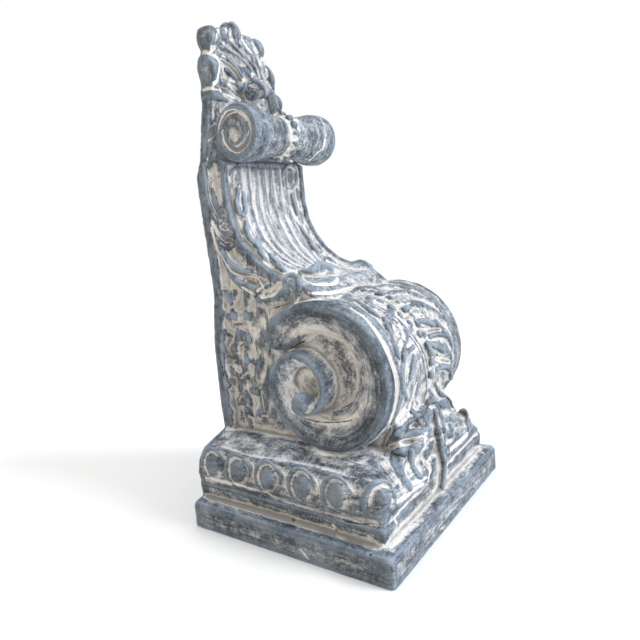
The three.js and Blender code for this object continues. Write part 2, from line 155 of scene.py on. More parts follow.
# The camera stands where the photograph was taken from. Its angles are in degrees, its place in millimetres,
# and the focal length, the middle of the view and the frame's width are in pixels of the photograph.
viewpoint = {
    'azimuth': -53.605, 'elevation': 7.97, 'roll': -4.848, 'place': (-553.469, -348.961, 323.201),
    'focal': 579.443, 'middleX': 300.152, 'middleY': 305.768, 'frameWidth': 640,
    'sensor': 36, 'nearest': 0.02,
}


def cameraAxes():
    az, el, roll = (math.radians(viewpoint[k]) for k in ('azimuth', 'elevation', 'roll'))
    back = np.array([math.sin(az) * math.cos(el), -math.cos(az) * math.cos(el), math.sin(el)])
    right = np.cross([0, 0, 1], back)
    right /= np.linalg.norm(right)
    up = np.cross(back, right)
    turned = math.cos(roll) * right + math.sin(roll) * up
    return turned, math.cos(roll) * up - math.sin(roll) * right, back


right, up, back = cameraAxes()
eyePoint = np.array(viewpoint['place']) * 0.001
frameWidth = viewpoint['frameWidth']
cameraData = bpy.data.cameras.new('camera')
camera = bpy.data.objects.new('camera', cameraData)
bpy.context.collection.objects.link(camera)
camera.matrix_world = Matrix.Translation(Vector(eyePoint)) @ Matrix((right, up, back)).transposed().to_4x4()
cameraData.sensor_width = viewpoint['sensor']
cameraData.sensor_fit = 'HORIZONTAL'
cameraData.lens = viewpoint['sensor'] * viewpoint['focal'] / frameWidth
cameraData.shift_x = (frameWidth / 2 - viewpoint['middleX']) / frameWidth
cameraData.shift_y = (viewpoint['middleY'] - frameWidth / 2) / frameWidth
cameraData.clip_start = viewpoint['nearest']
bpy.context.scene.camera = camera
print('camera placed')


# The way from the camera towards a pixel of the photograph
def sightLine(px, py):
    aside, above = px - viewpoint['middleX'], viewpoint['middleY'] - py
    way = right * aside + up * above - back * viewpoint['focal']
    return Vector(way / np.linalg.norm(way))


# A ring of points round a scroll, whose own line runs across the stone
def scrollRing(scroll, x, r):
    return [at(x, scroll['d'] + r * math.cos(a), scroll['z'] + r * math.sin(a))
            for a in roundAngles(scroll['sides'])]


# The face of a spiral band, from its outer edge (0) to its inner one (1). First how many millimetres it lies
# under the crest, and further in how much of the channel's depth.
bandEdge = [(0, 7), (0.02, 3.5), (0.07, 1), (0.14, 0), (0.24, 0.6), (0.34, 2.4)]
bandChannel = [(0.5, 0.42), (0.68, 0.75), (0.85, 0.95), (1, 1)]
# The band swells up from its start over the first degrees, and its channel deepens more slowly
bandStart = {'swellTurn': 22, 'least': 0.02, 'middle': 0.42, 'stand': 0.6, 'deepenTurn': 55, 'shallow': 0.3}


# The rounded band of a scroll's end, raised at its outer edge and hollowed inside it
def spiralBand(name, scroll, path, side):
    first, last, inner = scroll['firstTurn'], scroll['lastTurn'], scroll['inner']
    middle, stand, shallow = bandStart['middle'], bandStart['stand'], bandStart['shallow']
    rings = []
    for turn in np.arange(first, last + 0.1, scroll['turnStep']):
        d, z, r, width = path(turn)
        a = math.radians(scroll['startAngle'] - turn)
        begun = min(1.0, (turn - first) / bandStart['swellTurn'] + bandStart['least'])
        lobe = math.sqrt(1 - (1 - begun) ** 2)
        crest = scroll['crest'] + scroll['rise'] * (turn - first) / (last - first)
        deepened = min(1, (turn - first) / bandStart['deepenTurn'])
        depth = scroll['channel'] * (shallow + (1 - shallow) * deepened)
        face = [(u, crest - fall) for u, fall in bandEdge]
        face += [(u, crest - depth * share) for u, share in bandChannel]
        ring = []
        for u, x in [(0, inner)] + face + [(1, inner)]:
            q = r - width * (middle + (u - middle) * lobe)
            sideways = side * (inner + (x - inner) * (stand + (1 - stand) * lobe))
            ring.append(at(sideways, d + q * math.cos(a), z + q * math.sin(a)))
        rings.append(ring)
    return sweep(name, rings)


# The great scroll, with a band, an eye and a rim at each end and a drum sunk between the rims
greatScroll = {
    'd': 149, 'z': 168, 'radius': 78, 'firstTurn': -68, 'lastTurn': 598, 'turnStep': 4, 'startAngle': 90,
    'ease': 21, 'crest': 93, 'rise': 11, 'channel': 19, 'inner': 66,
    'eyeD': 127, 'eyeZ': 144, 'eyeRadius': 10.5, 'eyeOut': 98, 'eyeStand': 12,
    'halfWidth': 75, 'rim': 9, 'rimSlope': 2, 'sunk': 3, 'proud': 0.3, 'sides': 120,
}
# Along its spiral: degrees turned, then the shift forward and up, the outer edge and the width, these four as
# shares of the scroll's radius
spiralKeys = np.array([
    [-68, 0, 0, 1.1, 0.5], [-48, 0, 0, 1.12, 0.51], [-15, 0, 0, 1.01, 0.4], [100, 0, 0, 0.98, 0.54],
    [180, 0, 0, 0.97, 0.5], [225, -0.15, -0.07, 0.76, 0.36], [270, -0.33, -0.12, 0.5, 0.24],
    [360, -0.33, -0.1, 0.46, 0.24], [450, -0.31, -0.14, 0.42, 0.22], [540, -0.29, -0.22, 0.27, 0.15],
    [620, -0.28, -0.29, 0.15, 0.1],
])


def greatSpiral(turn):
    turns = turn + np.linspace(-greatScroll['ease'], greatScroll['ease'], 7)
    d, z, r, width = (np.mean(np.interp(turns, spiralKeys[:, 0], spiralKeys[:, i])) * greatScroll['radius']
                      for i in (1, 2, 3, 4))
    return greatScroll['d'] + d, greatScroll['z'] + z, r, width


for side in (-1, 1):
    parts.append(spiralBand('greatBand', greatScroll, greatSpiral, side))
    eye = at(side * greatScroll['eyeOut'], greatScroll['eyeD'], greatScroll['eyeZ'])
    radius = greatScroll['eyeRadius']
    parts.append(boss('greatEye', eye, greatScroll['eyeStand'], radius, radius))
rimEdge = greatScroll['halfWidth'] - greatScroll['rim']
half = [(rimEdge - greatScroll['rimSlope'], greatScroll['sunk']), (rimEdge, 0), (greatScroll['halfWidth'], 0)]
drum = [(-x, sunk) for x, sunk in half[::-1]] + half
drumRadius = greatScroll['radius'] + greatScroll['proud']
parts.append(sweep('greatDrum', [scrollRing(greatScroll, x, drumRadius - sunk) for x, sunk in drum]))
print('great scroll made')

# The small scroll, with a collar of beads round its waist where they stand clear of the palm leaf
smallScroll = {
    'd': 53.5, 'z': 425, 'radius': 30, 'firstTurn': 0, 'lastTurn': 468, 'turnStep': 6, 'startAngle': 135,
    'windIn': 0.0032, 'width': 0.5, 'crest': 79, 'rise': 3, 'channel': 9, 'inner': 68,
    'halfLength': 76, 'rim': 24, 'sides': 64,
    'beads': 15, 'beadRing': 24.5, 'beadRadius': 4.7, 'beadHalfLength': 5.2, 'beadsFrom': 20,
}


def smallSpiral(turn):
    r = smallScroll['radius'] * math.exp(-smallScroll['windIn'] * turn)
    return smallScroll['d'], smallScroll['z'], r, r * smallScroll['width']


# Half of the roll's profile: the distance from its middle, and its radius there
end = smallScroll['halfLength']
groove = end - smallScroll['rim']
half = [(0, 22.3), (groove * 0.3, 22.8), (groove * 0.6, 25), (groove * 0.85, 27.6), (groove - 2, 29),
        (groove - 0.5, 27.2), (groove + 1, 27.2), (groove + 2.5, 30.2), (groove + 12, 30.6), (end - 1, 30.4),
        (end + 1, 29)]
roll = [(-x, r) for x, r in half[:0:-1]] + half
parts.append(sweep('smallRoll', [scrollRing(smallScroll, x, r) for x, r in roll]))
for a in roundAngles(smallScroll['beads']):
    d = smallScroll['d'] + smallScroll['beadRing'] * math.cos(a)
    z = smallScroll['z'] + smallScroll['beadRing'] * math.sin(a)
    radius, halfLength = smallScroll['beadRadius'], smallScroll['beadHalfLength']
    if d > smallScroll['beadsFrom']:
        parts.append(boss('rollBead', at(0, d, z), halfLength, radius, radius, segments=12, rings=8))
for side in (-1, 1):
    parts.append(spiralBand('smallBand', smallScroll, smallSpiral, side))
print('small scroll made')

# The eggs along both sides of the base: each an upright oval with a crescent rim on the side towards the wall.
# The last one on each side sits on the worn front corner, which is worn back further on the right.
eggs = {
    'depths': (23, 59, 100, 143, 183, 223), 'z': 71, 'face': 129, 'halfWidth': 10.5, 'halfHeight': 14,
    'stand': 8, 'lean': 12, 'rim': 3.4, 'rimGap': 4.6, 'rimOut': 1,
    'rimFrom': 50, 'rimTo': 290, 'rimPoints': 7,
    'cornerWear': {-1: 12, 1: 45}, 'cornerTurn': 45, 'cornerIn': 0.75, 'cornerDown': 0.06,
}
halfWidth, halfHeight = eggs['halfWidth'], eggs['halfHeight']
rimHalfWidth, rimHalfHeight = halfWidth + eggs['rimGap'], halfHeight + eggs['rimGap']
rimAngles = np.radians(np.linspace(eggs['rimFrom'], eggs['rimTo'], eggs['rimPoints']))
for side in (-1, 1):
    for d in eggs['depths']:
        onCorner = d == eggs['depths'][-1]
        wear = eggs['cornerWear'][side] if onCorner else 0
        turned = -side * eggs['cornerTurn'] if onCorner else 0
        centre = at(side * (eggs['face'] - wear * eggs['cornerIn']), d, eggs['z'] - wear * eggs['cornerDown'])
        parts.append(boss('egg', centre, eggs['stand'], halfWidth, halfHeight, eggs['lean'], turned))
        spin = np.array(leaning(eggs['lean'], turned).to_3x3())
        arc = []
        for a in rimAngles:
            around = [side * eggs['rimOut'], -rimHalfWidth * math.cos(a), rimHalfHeight * math.sin(a)]
            arc.append(centre + spin @ np.array(around))
        parts.append(rib('eggRim', arc, eggs['rim'], out=spin @ np.array([side, 0, 0])))
print('eggs made')

# The palm leaf, whose middle line leans: broad lobes along both sides of a full middle. Each of these has its
# distance from the middle line, its height, its half width and its half height.
palmLeaf = {
    'aside': -2, 'lean': -0.2, 'from': 466, 'depth': 8, 'lobeStand': 12, 'middleStand': 19,
    'lobes': [(20, 537, 13, 13), (37, 533, 14, 16), (41, 513, 13, 13), (47, 495, 14, 21), (50, 464, 13, 15)],
    'top': (0, 545, 14, 12), 'middle': (0, 506, 38, 42),
}


def addPalmBoss(out, z, rx, rz, stand):
    x = palmLeaf['aside'] + palmLeaf['lean'] * (z - palmLeaf['from']) + out
    parts.append(boss('palmLobe', at(x, palmLeaf['depth'], z), rx, stand, rz))


for out, z, rx, rz in palmLeaf['lobes']:
    addPalmBoss(-out, z, rx, rz, palmLeaf['lobeStand'])
    addPalmBoss(out, z, rx, rz, palmLeaf['lobeStand'])
addPalmBoss(*palmLeaf['top'], palmLeaf['lobeStand'])
addPalmBoss(*palmLeaf['middle'], palmLeaf['middleStand'])
print('palm leaf made')

# The block of stone: a copy of the solid with the finer pieces joined to it, skinned over as one. The voxel,
# the lumps, their heights and flatWithin are in metres, and widest in millimetres. soften, carvingSoften,
# even, nearRounds and farRounds are rounds of smoothing.
stoneSkin = {
    'voxel': 0.0014, 'triangles': 196000, 'soften': 2, 'carvingSoften': 10, 'carvingShare': 0.5, 'even': 6,
    'broadLumps': 0.011, 'broadHeight': 0.00018, 'smallLumps': 0.005, 'smallHeight': 0.00012,
    'foliageLumps': 0.009, 'foliageHeight': 0.0011, 'carvedEase': 0.4, 'flatWithin': 0.0014,
    'nearRounds': 10, 'farRounds': 110, 'widest': (-2, 3),
}
stone = bpy.data.objects.new('limewashedStone', bpy.data.objects['corbel'].data.copy())
bpy.context.collection.objects.link(stone)
bpy.ops.object.select_all(action='DESELECT')
for piece in parts + [stone]:
    piece.select_set(True)
bpy.context.view_layer.objects.active = stone
bpy.ops.object.join()
mergeDoubles(stone.data, faceOutwards=False)
skin = stone.modifiers.new('skin', 'REMESH')
skin.mode = 'VOXEL'
skin.voxel_size = stoneSkin['voxel'] * 1
skin.adaptivity = 0
bpy.ops.object.modifier_apply(modifier=skin.name)
mesh = stone.data
print('stone skinned', len(mesh.vertices))


def coordinates(mesh):
    out = np.empty(len(mesh.vertices) * 3)
    mesh.vertices.foreach_get('co', out)
    return out.reshape(-1, 3)


def putBack(mesh, points):
    mesh.vertices.foreach_set('co', points.ravel())
    mesh.update()


def edgesOf(mesh):
    out = np.empty(len(mesh.edges) * 2, dtype=np.int32)
    mesh.edges.foreach_get('vertices', out)
    return out.reshape(-1, 2)


def normalsOf(mesh):
    out = np.empty(len(mesh.vertices) * 3)
    mesh.vertex_normals.foreach_get('vector', out)
    return out.reshape(-1, 3)


# Each point drawn towards the mean of its neighbours, a few rounds over
def relaxed(points, edges, rounds, share=0.5):
    count = len(points)
    starts, ends = edges[:, 0], edges[:, 1]
    degree = np.bincount(edges.ravel(), minlength=count)[:, None]
    for _ in range(rounds):
        total = np.stack([np.bincount(starts, column[ends], count) + np.bincount(ends, column[starts], count)
                          for column in points.T], 1)
        points = points + share * (total / degree - points)
    return points


# One value for each point, evened out between neighbours in the same way
def evened(values, edges, rounds):
    return relaxed(values[:, None].astype(float), edges, rounds)[:, 0]


# A smooth random field over space, about -1 to 1, with lumps of a given size in metres
def lumps(points, size, seed, waves=16):
    random = np.random.default_rng(seed)
    field = np.zeros(len(points))
    for _ in range(waves):
        way = random.normal(size=3)
        way *= math.pi / size * random.uniform(0.7, 1.3) / np.linalg.norm(way)
        field += np.cos(points @ way + random.uniform(0, 2 * math.pi))
    return field / math.sqrt(waves)


# Regions of the stone, alike on both sides. across is from the middle, forward from the back and up from the
# floor. fromScroll is the distance from the great scroll's line, and fromHollow from the line that the hollow
# bends round.
hollowLine = {'d': 125, 'z': 360}
far = 1000
zones = {
    'hollowLeaf': {'across': (-1, 70), 'forward': (-far, 125), 'up': (262, 396), 'fromHollow': (-1, 106)},
    'drumLeaf': {'across': (-1, 64), 'forward': (125, far), 'fromScroll': (-1, 92)},
    'palmLeaf': {'forward': (-far, 50), 'up': (455, far)},
    'footLeaf': {'across': (-1, 112), 'forward': (215, far), 'up': (50, far)},
    'sideLeaf': {'across': (72, far), 'forward': (-far, 118), 'up': (240, far)},
    'sidePanel': {'across': (72, far), 'forward': (8, 74), 'up': (112, 258)},
    'rubbedHollow': {'across': (-1, 66), 'forward': (10, 160), 'up': (255, 396)},
    'rubbedDrum': {'across': (-1, 62), 'forward': (120, far), 'fromScroll': (-1, 96)},
    'rubbedFoot': {'forward': (215, far), 'up': (36, far)},
    'scrollRim': {'across': (80, far), 'forward': (120, far), 'up': (95, far), 'fromScroll': (60, 92)},
    'scrollFace': {'across': (80, far), 'up': (95, far), 'fromScroll': (-1, 60)},
    'scrollEnd': {'across': (66, far), 'up': (95, far), 'fromScroll': (-1, 92)},
    'base': {'up': (-far, 110)},
    'back': {'forward': (-far, 9)},
}


def inZone(points, name):
    x, d, z = measures(points)
    ways = {
        'across': np.abs(x), 'forward': d, 'up': z,
        'fromScroll': np.hypot(d - greatScroll['d'], z - greatScroll['z']),
        'fromHollow': np.hypot(hollowLine['d'] - d, np.maximum(hollowLine['z'] - z, 0)),
    }
    inside = np.ones(len(points), bool)
    for way, (low, high) in zones[name].items():
        inside &= (ways[way] > low) & (ways[way] < high)
    return inside


# Where the leaves are carved, 0 or 1: there the solid's facets are smoothed away before the finer cuts go on
def carvedShare(points):
    carved = [inZone(points, name) for name in ('hollowLeaf', 'drumLeaf', 'palmLeaf', 'footLeaf', 'sideLeaf')]
    return np.any(carved, axis=0)


# Where the stone is rubbed paler (above 0): the hollow's leaf, the great scroll's leaf, the foot and the middle
# of the great scroll's ends. Where the paint stays darker (below 0): the great scroll's rims and the back.
def palerShare(points):
    hollow, drum, foot = (inZone(points, name) for name in ('rubbedHollow', 'rubbedDrum', 'rubbedFoot'))
    face, rim, wall = (inZone(points, name) for name in ('scrollFace', 'scrollRim', 'back'))
    return (0.6 * hollow + 0.1 * (drum & ~hollow) + 0.05 * (foot & ~drum)
            + 0.35 * face - 0.35 * rim - 0.3 * wall)


edges = edgesOf(mesh)
points = relaxed(coordinates(mesh), edges, stoneSkin['soften'])
share = stoneSkin['carvingShare'] * evened(carvedShare(points), edges, stoneSkin['even'])[:, None]
points = relaxed(points, edges, stoneSkin['carvingSoften'] // (1), share)
putBack(mesh, points)
print('stone softened')

# The finer carving, cut or raised along strokes. A stroke is a row of pixels of the photograph, cast from the
# camera onto the stone. Width and height are in millimetres, wash is how much limewash it holds (above 0) or
# sheds (below 0), and dark how much darker it is painted: the dark of cracks and holes, and painted shade in
# the side panel's pits. A mirrored stroke is laid on both sides.
palmCarving = {
    'ridges': {'width': 2.3, 'height': 2, 'wash': 1, 'paths': [
        [(219, 53), (226, 57), (233, 64), (240, 73), (243, 82), (245, 87)],
        [(219, 42), (228, 50), (240, 57), (249, 67), (254, 76), (254, 80)],
        [(228, 40), (238, 50), (248, 59), (256, 68), (261, 77), (264, 84)],
        [(241, 42), (245, 49), (249, 54)]]},
    'flutes': {'width': 4, 'height': -1.8, 'wash': -1, 'paths': [
        [(220, 48), (230, 54), (238, 62), (245, 72), (249, 80)], [(228, 46), (240, 54), (250, 64), (257, 76)],
        [(238, 46), (248, 56), (258, 68), (263, 78)]]},
    'blades': {'width': 4.5, 'height': 1.8, 'wash': -1, 'paths': [
        [(226, 70), (233, 76), (239, 84), (242, 90)], [(203, 36), (208, 32), (213, 36), (214, 44)],
        [(205, 64), (210, 60), (215, 68), (215, 78)], [(204, 98), (214, 96), (226, 100)],
        [(222, 26), (229, 22), (236, 26)], [(246, 38), (254, 40), (260, 48)],
        [(266, 66), (270, 72), (272, 79)]]},
    'gutters': {'width': 3.6, 'height': -2, 'wash': 1.1, 'paths': [
        [(219, 27), (217, 36), (214, 45), (212, 52)],
        [(200, 53), (208, 52), (217, 57), (220, 66), (218, 78), (213, 86)],
        [(200, 90), (210, 88), (222, 90), (232, 95), (240, 99)], [(221, 60), (228, 65), (235, 72), (240, 80)],
        [(222, 78), (230, 84), (238, 92), (245, 99)], [(242, 38), (246, 45), (252, 52)],
        [(262, 58), (266, 66), (268, 75)],
        [(268, 83), (273, 92), (277, 100)], [(262, 92), (259, 98), (263, 104), (272, 104)]]},
    'lines': {'width': 1.6, 'height': -0.9, 'wash': 0.4, 'paths': [
        [(226, 26), (226, 38)], [(231, 25), (231, 40)], [(236, 28), (237, 40)], [(249, 39), (255, 48)]]},
    'curl': {'width': 3, 'height': 3, 'wash': -0.8, 'paths': [
        [(243, 92), (245, 86), (250, 82), (256, 81), (262, 85), (266, 92), (266, 100), (264, 106)],
        [(244, 93), (247, 98), (252, 99), (256, 96), (257, 91), (253, 90)]]},
}
rollCarving = {
    'lines': {'width': 1.6, 'height': -0.6, 'wash': 1.2, 'paths': [
        [(257, 103), (263, 112), (266, 122), (266, 132), (263, 141), (258, 149)],
        [(320, 117), (324, 125), (326, 135), (324, 146), (318, 153), (308, 162)]]},
    'collar': {'width': 5, 'height': -1, 'wash': 0.9, 'paths': [
        [(283, 103), (291, 110), (296, 120), (298, 131), (296, 143), (290, 152), (282, 160), (272, 166)]]},
    'coil': {'width': 4.4, 'height': -5, 'wash': 1.2, 'mirror': True, 'paths': [
        [(217, 128), (220, 119), (226, 113), (235, 111), (243, 116), (247, 125), (247, 136), (243, 145),
         (236, 150),
         (229, 147), (224, 140), (222, 132)], [(207, 158), (208, 145), (212, 132), (216, 124)]]},
}
hollowCarving = {
    'gutter': {'width': 4, 'height': -2.2, 'wash': 1.2, 'paths': [
        [(229, 178), (231, 200), (237, 222), (246, 241), (258, 257), (272, 269), (283, 275)],
        [(297, 190), (300, 208), (303, 222), (309, 236), (317, 248), (327, 259), (340, 267)]]},
    'flutes': {'width': 2, 'height': 1.1, 'wash': 1, 'paths': [
        [(243, 166), (244, 180), (246, 192)],
        [(248, 160), (250, 175), (252, 195), (254, 210), (257, 222), (260, 238), (262, 252)],
        [(255, 168), (257, 185), (257, 200), (259, 213), (262, 228), (268, 243), (275, 255)],
        [(262, 178), (264, 200), (266, 213), (270, 225), (277, 238), (285, 249), (296, 259), (306, 268)],
        [(270, 175), (271, 190), (274, 205), (281, 222), (289, 236), (298, 247), (308, 257)],
        [(276, 172), (277, 190), (281, 205), (289, 222), (297, 234), (306, 246), (316, 256)],
        [(283, 186), (286, 195), (290, 206), (296, 220)], [(267, 216), (272, 227), (279, 240), (290, 252)]]},
    'channels': {'width': 2.2, 'height': -0.7, 'wash': -0.5, 'paths': [
        [(252, 205), (255, 225), (259, 240), (266, 254)],
        [(259, 190), (261, 210), (264, 226), (271, 241), (281, 254)],
        [(268, 195), (270, 212), (276, 228), (284, 241), (294, 253)],
        [(274, 192), (278, 210), (286, 226), (295, 240), (305, 251)],
        [(281, 198), (286, 212), (293, 226), (302, 240), (312, 250)]]},
    'lobes': {'width': 4.6, 'height': 3.2, 'wash': -0.9, 'paths': [
        [(238, 190), (236, 200), (238, 210), (243, 216)], [(243, 194), (244, 204), (245, 212)],
        [(246, 222), (247, 232), (252, 242), (256, 248)], [(256, 236), (259, 247), (263, 257)],
        [(270, 255), (276, 263), (283, 270)], [(291, 195), (295, 205), (297, 214)],
        [(296, 224), (303, 232), (312, 243)],
        [(309, 243), (315, 249), (321, 253)]]},
    'loops': {'width': 2.6, 'height': 2.4, 'wash': 0.7, 'paths': [
        [(232, 187), (229, 179), (231, 172), (236, 169), (239, 175), (239, 182), (236, 188)],
        [(284, 186), (282, 176), (285, 168), (290, 165), (295, 170), (296, 179), (292, 188), (287, 189)]]},
    'pockets': {'width': 3, 'height': -2.6, 'wash': 0.3, 'paths': [
        [(242, 229), (245, 234)], [(271, 261), (275, 266)], [(289, 173), (290, 182)],
        [(320, 255), (324, 259)],
        [(310, 268), (314, 265)], [(235, 174), (235, 183)]]},
    'tip': {'width': 5.5, 'height': 3.6, 'wash': -0.8, 'paths': [
        [(303, 272), (311, 271), (316, 265), (323, 264), (330, 268), (331, 275)]]},
    'underTip': {'width': 3.4, 'height': -1.8, 'wash': 1.1, 'paths': [
        [(298, 270), (303, 279), (312, 283), (325, 284), (336, 282), (338, 272)],
        [(308, 292), (322, 293), (340, 291), (352, 287)]]},
    'wisps': {'width': 1.5, 'height': 0.7, 'wash': 0.9, 'paths': [
        [(296, 219), (303, 226)], [(300, 262), (306, 267)], [(312, 262), (318, 260)],
        [(335, 285), (341, 291)]]},
}
sideCarving = {
    'crescents': {'width': 3.4, 'height': -1.8, 'wash': 1.1, 'mirror': True, 'paths': [
        [(208, 180), (210, 195), (214, 207), (219, 218), (225, 224)],
        [(212, 222), (217, 231), (224, 239), (231, 240)],
        [(211, 228), (215, 243), (222, 258), (232, 269), (245, 274), (255, 276)],
        [(243, 287), (252, 294), (262, 297), (272, 295), (280, 289)], [(259, 278), (263, 284), (258, 291)]]},
    'blades': {'width': 3.6, 'height': 2.4, 'wash': -0.9, 'mirror': True, 'paths': [
        [(204, 165), (206, 185), (210, 205), (216, 217)], [(212, 215), (220, 222), (226, 220)],
        [(220, 244), (228, 249), (234, 245)], [(212, 190), (217, 205), (224, 216)],
        [(217, 238), (225, 245), (233, 243)],
        [(228, 262), (240, 270), (250, 271)], [(236, 280), (246, 285), (256, 288)],
        [(222, 250), (230, 263), (242, 269)]]},
    'pits': {'width': 3.4, 'height': -2.2, 'wash': -0.2, 'mirror': True, 'paths': [
        [(226, 241), (231, 242)], [(248, 281), (256, 284)], [(265, 281), (272, 284)],
        [(221, 226), (225, 229)]]},
    'corner': {'width': 4.5, 'height': 2.4, 'wash': -1, 'mirror': True, 'paths': [
        [(284, 279), (290, 275), (297, 277), (300, 284), (299, 294)], [(284, 284), (287, 292), (286, 299)]]},
    'panel': {'width': 4.6, 'height': 2.6, 'wash': -0.35, 'mirror': True, 'paths': [
        [(226, 295), (231, 303)], [(224, 312), (228, 316)], [(233, 311), (235, 319)],
        [(245, 313), (250, 319)],
        [(225, 331), (232, 336)], [(238, 330), (247, 335), (250, 341)], [(246, 353), (248, 362)],
        [(230, 366), (236, 374)],
        [(228, 384), (234, 388)], [(247, 392), (251, 402)], [(250, 420), (253, 428)],
        [(222, 345), (226, 352)],
        [(247, 408), (252, 414)]]},
    # Pits painted darker as well as cut: painted shade in the side panel's pits
    'panelPits': {'width': 2.2, 'height': -2.4, 'wash': 0.2, 'dark': 0.5, 'mirror': True, 'paths': [
        [(233, 325), (242, 324)], [(240, 346), (246, 343)], [(228, 356), (236, 360)],
        [(241, 378), (248, 372)],
        [(238, 402), (243, 396)], [(246, 420), (243, 410)], [(221, 362), (223, 370)],
        [(262, 392), (265, 412)]]},
}
drumCarving = {
    'beads': {'width': 4.4, 'height': 3.4, 'wash': -0.8, 'paths': [
        [(369, 298), (370, 298)], [(379, 302), (380, 302)], [(390, 307), (391, 308)],
        [(399, 315), (400, 316)],
        [(409, 323), (410, 324)], [(418, 334), (419, 335)], [(425, 346), (426, 347)],
        [(431, 360), (431, 362)],
        [(431, 374), (431, 376)]]},
    'spine': {'width': 1.7, 'height': 1.5, 'wash': -0.2, 'paths': [
        [(345, 297), (363, 302), (383, 312), (396, 322), (410, 337), (421, 354), (425, 372), (426, 390),
         (424, 400)],
        [(360, 299), (382, 309), (398, 320), (412, 335), (423, 352), (428, 372)]]},
    'blades': {'width': 4.6, 'height': 3, 'wash': -0.9, 'paths': [
        [(352, 300), (362, 306), (372, 312), (378, 318)], [(383, 319), (388, 331), (394, 346), (398, 357)],
        [(413, 347), (405, 354), (402, 366), (402, 380), (404, 392), (406, 399)],
        [(413, 356), (413, 368), (410, 378)],
        [(378, 294), (388, 291), (396, 291), (402, 296)],
        [(404, 310), (412, 306), (421, 305), (428, 309), (431, 316)],
        [(429, 337), (437, 334), (446, 336), (450, 343), (451, 350)],
        [(436, 369), (443, 366), (449, 369), (451, 378)],
        [(352, 293), (360, 289), (370, 288), (377, 290)], [(416, 322), (425, 321), (433, 325)],
        [(427, 344), (436, 346), (443, 352)], [(431, 352), (437, 361), (445, 366)],
        [(434, 384), (438, 392), (444, 396)]]},
    'lines': {'width': 1.5, 'height': 0.9, 'wash': 0.8, 'paths': [
        [(385, 322), (393, 336), (399, 350)], [(398, 334), (405, 341), (412, 346)],
        [(408, 366), (406, 380), (408, 392)],
        [(415, 371), (413, 383), (410, 394)], [(386, 297), (396, 296), (401, 300)],
        [(410, 313), (419, 311), (426, 316)],
        [(432, 342), (441, 342), (447, 349)], [(438, 373), (445, 374), (447, 384)],
        [(362, 294), (371, 293)]]},
    'gutters': {'width': 4.2, 'height': -2, 'wash': 0.45, 'paths': [
        [(352, 308), (366, 318), (377, 332), (386, 348), (393, 364), (397, 382), (397, 400),
         (391, 424), (382, 446)],
        [(396, 287), (410, 293), (423, 306), (433, 320), (442, 336), (448, 352), (449, 362)],
        [(399, 325), (405, 334), (403, 342), (398, 350)], [(392, 301), (400, 305), (410, 302)],
        [(404, 318), (414, 316), (423, 315)],
        [(420, 330), (430, 331), (440, 330)], [(436, 358), (444, 361), (450, 362)],
        [(440, 378), (444, 388), (440, 396)],
        [(417, 384), (414, 395), (408, 408)]]},
}
footCarving = {
    'crown': {'width': 5, 'height': 3, 'wash': -0.7, 'paths': [
        [(427, 403), (433, 400), (440, 401), (445, 405)]]},
    'stem': {'width': 4.6, 'height': 3, 'wash': -1, 'paths': [
        [(434, 411), (436, 422), (438, 434), (441, 448), (444, 462), (443, 478), (441, 490)],
        [(430, 430), (432, 445), (436, 458), (438, 470)]]},
    'stemLines': {'width': 1.4, 'height': -0.8, 'wash': 0.5, 'paths': [
        [(438, 415), (440, 428), (443, 440), (446, 452)], [(446, 455), (448, 468), (446, 480)],
        [(434, 415), (437, 432), (439, 445)]]},
    'blades': {'width': 4.6, 'height': 3, 'wash': -0.9, 'paths': [
        [(386, 456), (396, 453), (408, 449), (418, 446)], [(400, 436), (410, 433), (420, 431), (428, 428)],
        [(412, 452), (411, 462), (415, 472), (422, 478)], [(405, 456), (400, 463), (402, 474), (408, 484)],
        [(392, 458), (396, 470), (404, 482), (411, 490)], [(412, 412), (418, 418), (421, 424)],
        [(451, 417), (458, 414), (465, 418), (469, 427)], [(448, 425), (454, 432), (456, 440)],
        [(446, 436), (451, 443), (453, 450)], [(424, 406), (416, 416), (406, 426), (396, 434)]]},
    'lines': {'width': 1.5, 'height': 1, 'wash': 0.9, 'paths': [
        [(380, 456), (392, 451), (405, 447), (417, 443)], [(375, 470), (383, 480), (392, 493), (396, 505)],
        [(380, 466), (388, 476), (397, 488), (404, 498)], [(386, 463), (393, 472), (401, 483), (409, 495)],
        [(418, 402), (412, 413), (404, 424), (396, 431)], [(410, 398), (405, 408), (398, 418), (390, 427)],
        [(408, 460), (407, 470), (412, 480)], [(454, 417), (459, 424), (460, 431)],
        [(460, 416), (465, 423), (466, 432)],
        [(416, 455), (416, 466), (420, 474)]]},
    'gutters': {'width': 3.6, 'height': -2, 'wash': 1.2, 'paths': [
        [(424, 433), (427, 440), (425, 447)],
        [(423, 458), (427, 464), (431, 470), (429, 480)], [(402, 458), (405, 465), (404, 472)],
        [(406, 426), (414, 424), (420, 428)],
        [(449, 452), (455, 446), (462, 440), (468, 434)], [(412, 484), (420, 481), (428, 478)],
        [(390, 447), (402, 443), (412, 441)],
        [(398, 502), (406, 497), (415, 490), (424, 484)]]},
}
